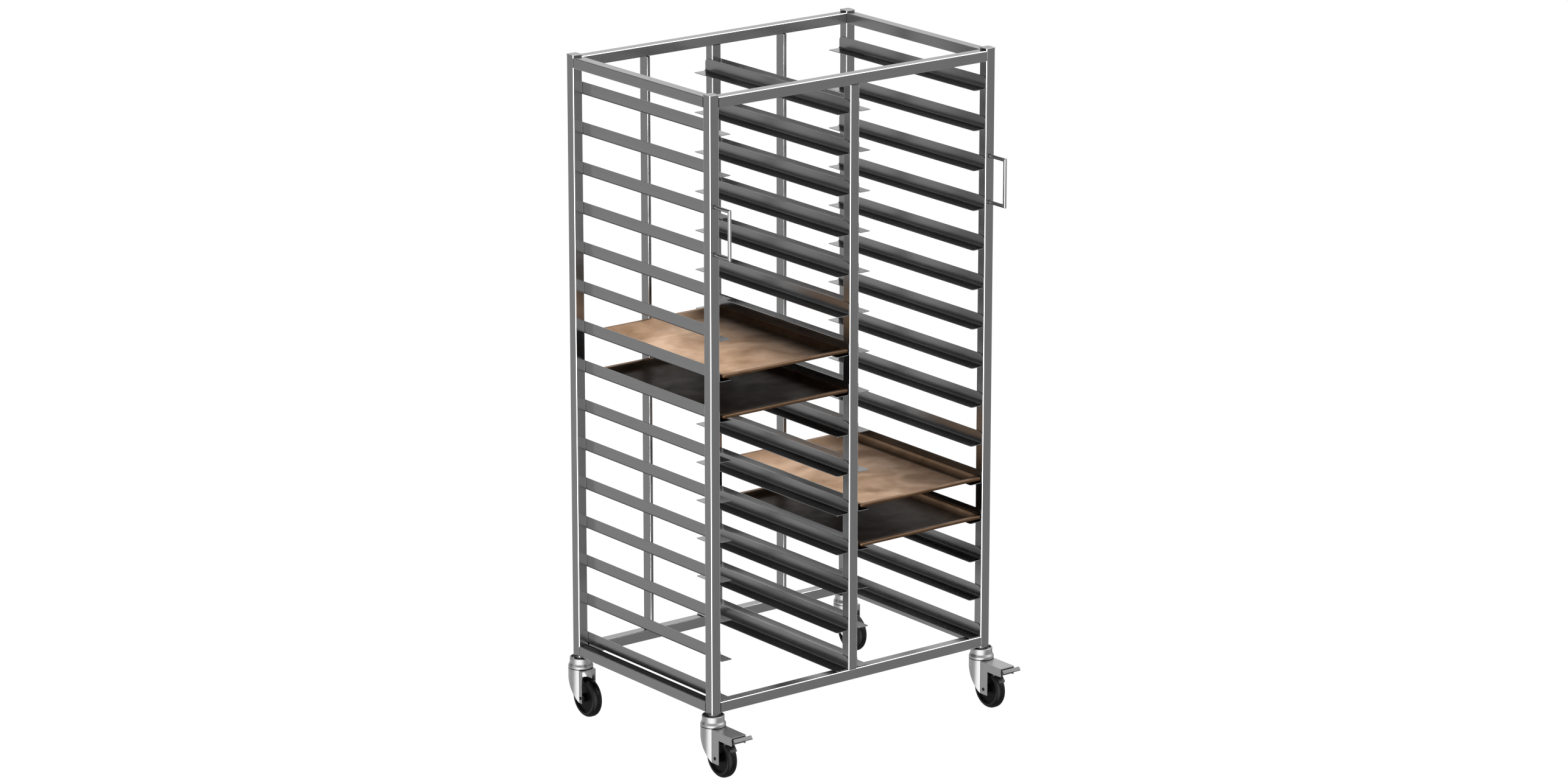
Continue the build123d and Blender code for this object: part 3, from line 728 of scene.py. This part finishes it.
# Forks: bent from bright plate, with a round skirt behind and flat cheeks beside the wheel.
# Their cut edges are tumbled round. The axle bolts are dark plated steel with broken edges.
FORK_EDGE = 0.0006
BOLT_EDGE = 0.0003
bolt_steel = drawn_steel("bolt_steel", AXES["x"], tone=0.03, polish=0.4, marks=300.0, run=300.0)
for corner in corners:
    fork = softened(f"caster_fork_{corner}", f"bent_fork_{corner}", FORK_EDGE, caster_steel)
    show(f"bent_fork_{corner}", fork, f"fork_{corner}", "caster_plate", f"caster_fork_{corner}")
    bolt = softened(f"axle_{corner}", f"axle_bolt_{corner}", BOLT_EDGE, bolt_steel)
    show(f"axle_bolt_{corner}", bolt, f"fork_{corner}", "caster_plate", f"axle_{corner}")


# Wheels: a moulded black centre with a long boss, and a black tyre with round shoulders.
# Both are smooth with a faint moulded grain, and the tread is scuffed dull and dusty.
TYRE_HALF = 0.013
TYRE_DEPTH = 0.013
TYRE_SHOULDER = 0.010
SHOULDER_STEPS = 12
TYRE_LIP = 0.0007
RIM_HALF = 0.0105
RIM_WALL = 0.004
WEB_HALF = 0.0085
BOSS_RADIUS = 0.011
WHEEL_BORE = 0.00406
WHEEL_EDGE = 0.0007


def moulded_black(name, tone, shine, gloss, wear, grain_size=900.0):
    """Black moulding with a fine grain, and dust and scuffs in soft patches."""
    material, tree, shader = new_material(name, Specular_IOR_Level=shine)
    place = add(tree, "ShaderNodeTexCoord").outputs["Object"]
    grain = add(tree, "ShaderNodeTexNoise", Vector=place, Scale=grain_size, Detail=2.0).outputs["Fac"]
    scuffs = add(tree, "ShaderNodeTexNoise", Vector=place, Scale=45.0, Detail=6.0).outputs["Fac"]
    dusty = (tone * wear, tone * wear, tone * wear * 0.96)
    tree.links.new(two_tones(tree, scuffs, (tone, tone, tone), dusty), shader.inputs["Base Color"])
    tree.links.new(between(tree, scuffs, gloss, gloss + 0.2), shader.inputs["Roughness"])
    bump = add(tree, "ShaderNodeBump", Strength=0.2, Distance=0.00005, Height=grain)
    tree.links.new(bump.outputs["Normal"], shader.inputs["Normal"])
    return material


wheel_black = moulded_black("wheel_black", tone=0.003, shine=0.09, gloss=0.3, wear=1.5)
tyre_black = moulded_black("tyre_black", tone=0.003, shine=0.2, gloss=0.2, wear=1.4)


def tyre_outline(radius):
    """Section of a tyre: its bore, its side walls with a small lip, and its round tread."""
    bore = radius - TYRE_DEPTH
    outline = [(bore, -TYRE_HALF + TYRE_LIP), (bore + TYRE_LIP, -TYRE_HALF)]
    for angle in quarter_arc(SHOULDER_STEPS):
        out, side = TYRE_SHOULDER * (1 - sin(angle)), TYRE_SHOULDER * (1 - cos(angle))
        outline.append((radius - out, -TYRE_HALF + side))
    return outline + [(out, -side) for out, side in reversed(outline)]


def wheel_outline(radius, boss_half):
    """Section of a wheel centre: boss, web and rim."""
    bore = radius - TYRE_DEPTH
    half = [
        (WHEEL_BORE, boss_half),
        (BOSS_RADIUS, boss_half),
        (BOSS_RADIUS, WEB_HALF),
        (bore - RIM_WALL, WEB_HALF),
        (bore - RIM_WALL, RIM_HALF),
        (bore, RIM_HALF),
    ]
    return [(out, -side) for out, side in half] + half[::-1]


for corner in corners:
    low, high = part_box(f"tyre_{corner}")
    hub, radius, across = (low + high) / 2, (high.z - low.z) / 2, Vector((1, 0, 0))
    name = f"round_tyre_{corner}"
    tyre = turned(name, tyre_outline(radius), hub, across, tyre_black, fold=50.0, steps=144)
    show(name, tyre, f"wheel_{corner}", "tyre", f"tyre_{corner}")
    low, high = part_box(f"wheel_{corner}")
    name = f"wheel_centre_{corner}"
    outline = wheel_outline(radius, (high.x - low.x) / 2)
    centre = turned(name, outline, hub, across, wheel_black, fold=30.0, steps=128)
    centre = settled(name, centre, [edge_rounding(WHEEL_EDGE, fold=60.0)])
    show(name, centre, f"wheel_{corner}", "wheel_plastic", f"wheel_{corner}")


# Brakes: pedal and strap bent from sheet, both on pins in the fork's arms. Their edges are
# rounded as stamped. The pedal is dull plated steel and the strap is darker.
PEDAL_EDGE = 0.0008
pedal_steel = drawn_steel("pedal_steel", AXES["x"], tone=0.1, polish=0.2, marks=300.0, run=20.0)
strap_steel = drawn_steel("strap_steel", AXES["x"], tone=0.045, polish=0.35, marks=300.0, run=20.0)
for side in ("left", "right"):
    for kind in ("pedal", "strap"):
        node, name = f"brake_{kind}_{side}", f"stamped_{kind}_{side}"
        steel = pedal_steel if kind == "pedal" else strap_steel
        stamped = softened(node, name, PEDAL_EDGE, steel)
        show(name, stamped, f"{kind}_{side}", "caster_plate", node)
    finish_node(f"brake_pins_{side}", ball_steel)


# Setting: an even white surround, a plain white floor, one soft lamp overhead, and a few soft
# bright and dark patches all round, which only the steel's and the plastic's reflections show.
# A patch is a direction, the angles in degrees where it is full and where it ends, and a level.
SOFT_LIGHTS = (
    ((-0.78, -0.59, -0.22), 8, 52, 2.1),
    ((0.585, -0.4, 0.7), 12, 36, 2.2),
    ((0.6, 0.75, 0.3), 12, 40, 0.22),
)
DARK_FLAGS = (
    ((0.585, -0.762, -0.15), 12, 45, 0.33),
    ((-0.14, 0.75, 0.65), 14, 33, 0.88),
    ((-0.62, 0.76, 0.2), 6, 26, 0.6),
    ((-0.4, -0.3, 0.85), 15, 40, 0.75),
    ((0.7, 0.5, -0.5), 32, 50, 0.6),
    ((-0.585, 0.762, -0.277), 20, 50, 0.15),
)
AMBIENT = 0.03
BELOW = (-0.6, -0.35)
BELOW_LEVEL = 0.35


def glow(tree, direction, rounds):
    """Sum of round soft patches of light."""
    total = 0.0
    for towards, full, out, level in rounds:
        facing = add(tree, "ShaderNodeVectorMath", {"operation": "DOT_PRODUCT"})
        tree.links.new(direction, facing.inputs[0])
        facing.inputs[1].default_value = Vector(towards).normalized()
        spread = (cos(radians(out)), cos(radians(full)))
        total = figure(tree, "ADD", total, faded(tree, facing.outputs["Value"], spread, (0.0, level)))
    return total


world = bpy.data.worlds.new("studio")
world.use_nodes = True
world.cycles.sampling_method = "NONE"
bpy.context.scene.world = world
air = world.node_tree
backdrop = air.nodes["Background"]
direction = add(air, "ShaderNodeTexCoord").outputs["Generated"]
height = add(air, "ShaderNodeSeparateXYZ", Vector=direction).outputs["Z"]
surround = figure(air, "SUBTRACT", 1.0, glow(air, direction, DARK_FLAGS))
surround = figure(air, "MULTIPLY", surround, faded(air, height, BELOW, (BELOW_LEVEL, 1.0)))
reflected = figure(air, "ADD", surround, glow(air, direction, SOFT_LIGHTS))
path = add(air, "ShaderNodeLightPath").outputs
beyond_white = figure(air, "SUBTRACT", reflected, 1.0)
direct = figure(air, "MULTIPLY_ADD", path["Is Glossy Ray"], beyond_white, 1.0)
scattered = figure(air, "MINIMUM", path["Diffuse Depth"], 1.0)
dimming = figure(air, "MULTIPLY", scattered, figure(air, "SUBTRACT", AMBIENT, direct))
air.links.new(figure(air, "ADD", direct, dimming), backdrop.inputs["Strength"])
backdrop.inputs["Color"].default_value = (1, 1, 1, 1)

FLOOR_REACH = 60.0
FLOOR_GREY = 0.04
signs = ((-1, -1), (1, -1), (1, 1), (-1, 1))
floor_points = [(x * FLOOR_REACH, y * FLOOR_REACH, 0.0) for x, y in signs]
floor_mesh = mesh_of("floor", floor_points, [(0, 1, 2, 3)], None)
floor = bpy.data.objects.new("floor", floor_mesh)
bpy.context.collection.objects.link(floor)
paper = bpy.data.materials.new("white_floor")
paper.use_nodes = True
mix = paper.node_tree
mix.nodes.remove(mix.nodes["Principled BSDF"])
matt = add(mix, "ShaderNodeBsdfDiffuse", Color=(FLOOR_GREY, FLOOR_GREY, FLOOR_GREY, 1))
seen = add(mix, "ShaderNodeLightPath").outputs
shine = add(mix, "ShaderNodeEmission")
in_view = figure(mix, "ADD", seen["Is Camera Ray"], seen["Is Glossy Ray"])
mix.links.new(figure(mix, "ADD", in_view, seen["Is Transmission Ray"]), shine.inputs["Strength"])
both = add(mix, "ShaderNodeAddShader")
mix.links.new(matt.outputs["BSDF"], both.inputs[0])
mix.links.new(shine.outputs["Emission"], both.inputs[1])
mix.links.new(both.outputs["Shader"], mix.nodes["Material Output"].inputs["Surface"])
floor_mesh.materials.append(paper)
floor.visible_glossy = False
floor.visible_shadow = False

KEY_WATTS = 560.0
KEY_ACROSS = 2.0
KEY_PLACE = (0.95, 0.1, 7.0)
KEY_TARGET = (0.0, 0.0, 1.0)
key = bpy.data.lights.new("key", "AREA")
key.energy = KEY_WATTS
key.shape = "DISK"
key.size = KEY_ACROSS
key_lamp = bpy.data.objects.new("key", key)
key_lamp.location = KEY_PLACE
aim = Vector(KEY_TARGET) - Vector(KEY_PLACE)
key_lamp.rotation_euler = aim.to_track_quat("-Z", "Y").to_euler()
key_lamp.visible_camera = False
key_lamp.visible_glossy = False
bpy.context.collection.objects.link(key_lamp)

FOCAL_LENGTH = 128.26
SENSOR_WIDTH = 36.0
CAMERA_PLACE = (-8.3733, -10.8632, 4.8146)
LOOKS_DOWN, LOOKS_RIGHT = 16.066, 37.539
lens = bpy.data.cameras.new("camera")
lens.lens = FOCAL_LENGTH
lens.sensor_width = SENSOR_WIDTH
lens.clip_end = 200.0
camera = bpy.data.objects.new("camera", lens)
camera.location = CAMERA_PLACE
camera.rotation_euler = (radians(90 - LOOKS_DOWN), 0.0, radians(-LOOKS_RIGHT))
bpy.context.collection.objects.link(camera)
bpy.context.scene.camera = camera
bpy.context.scene.view_settings.view_transform = "Standard"
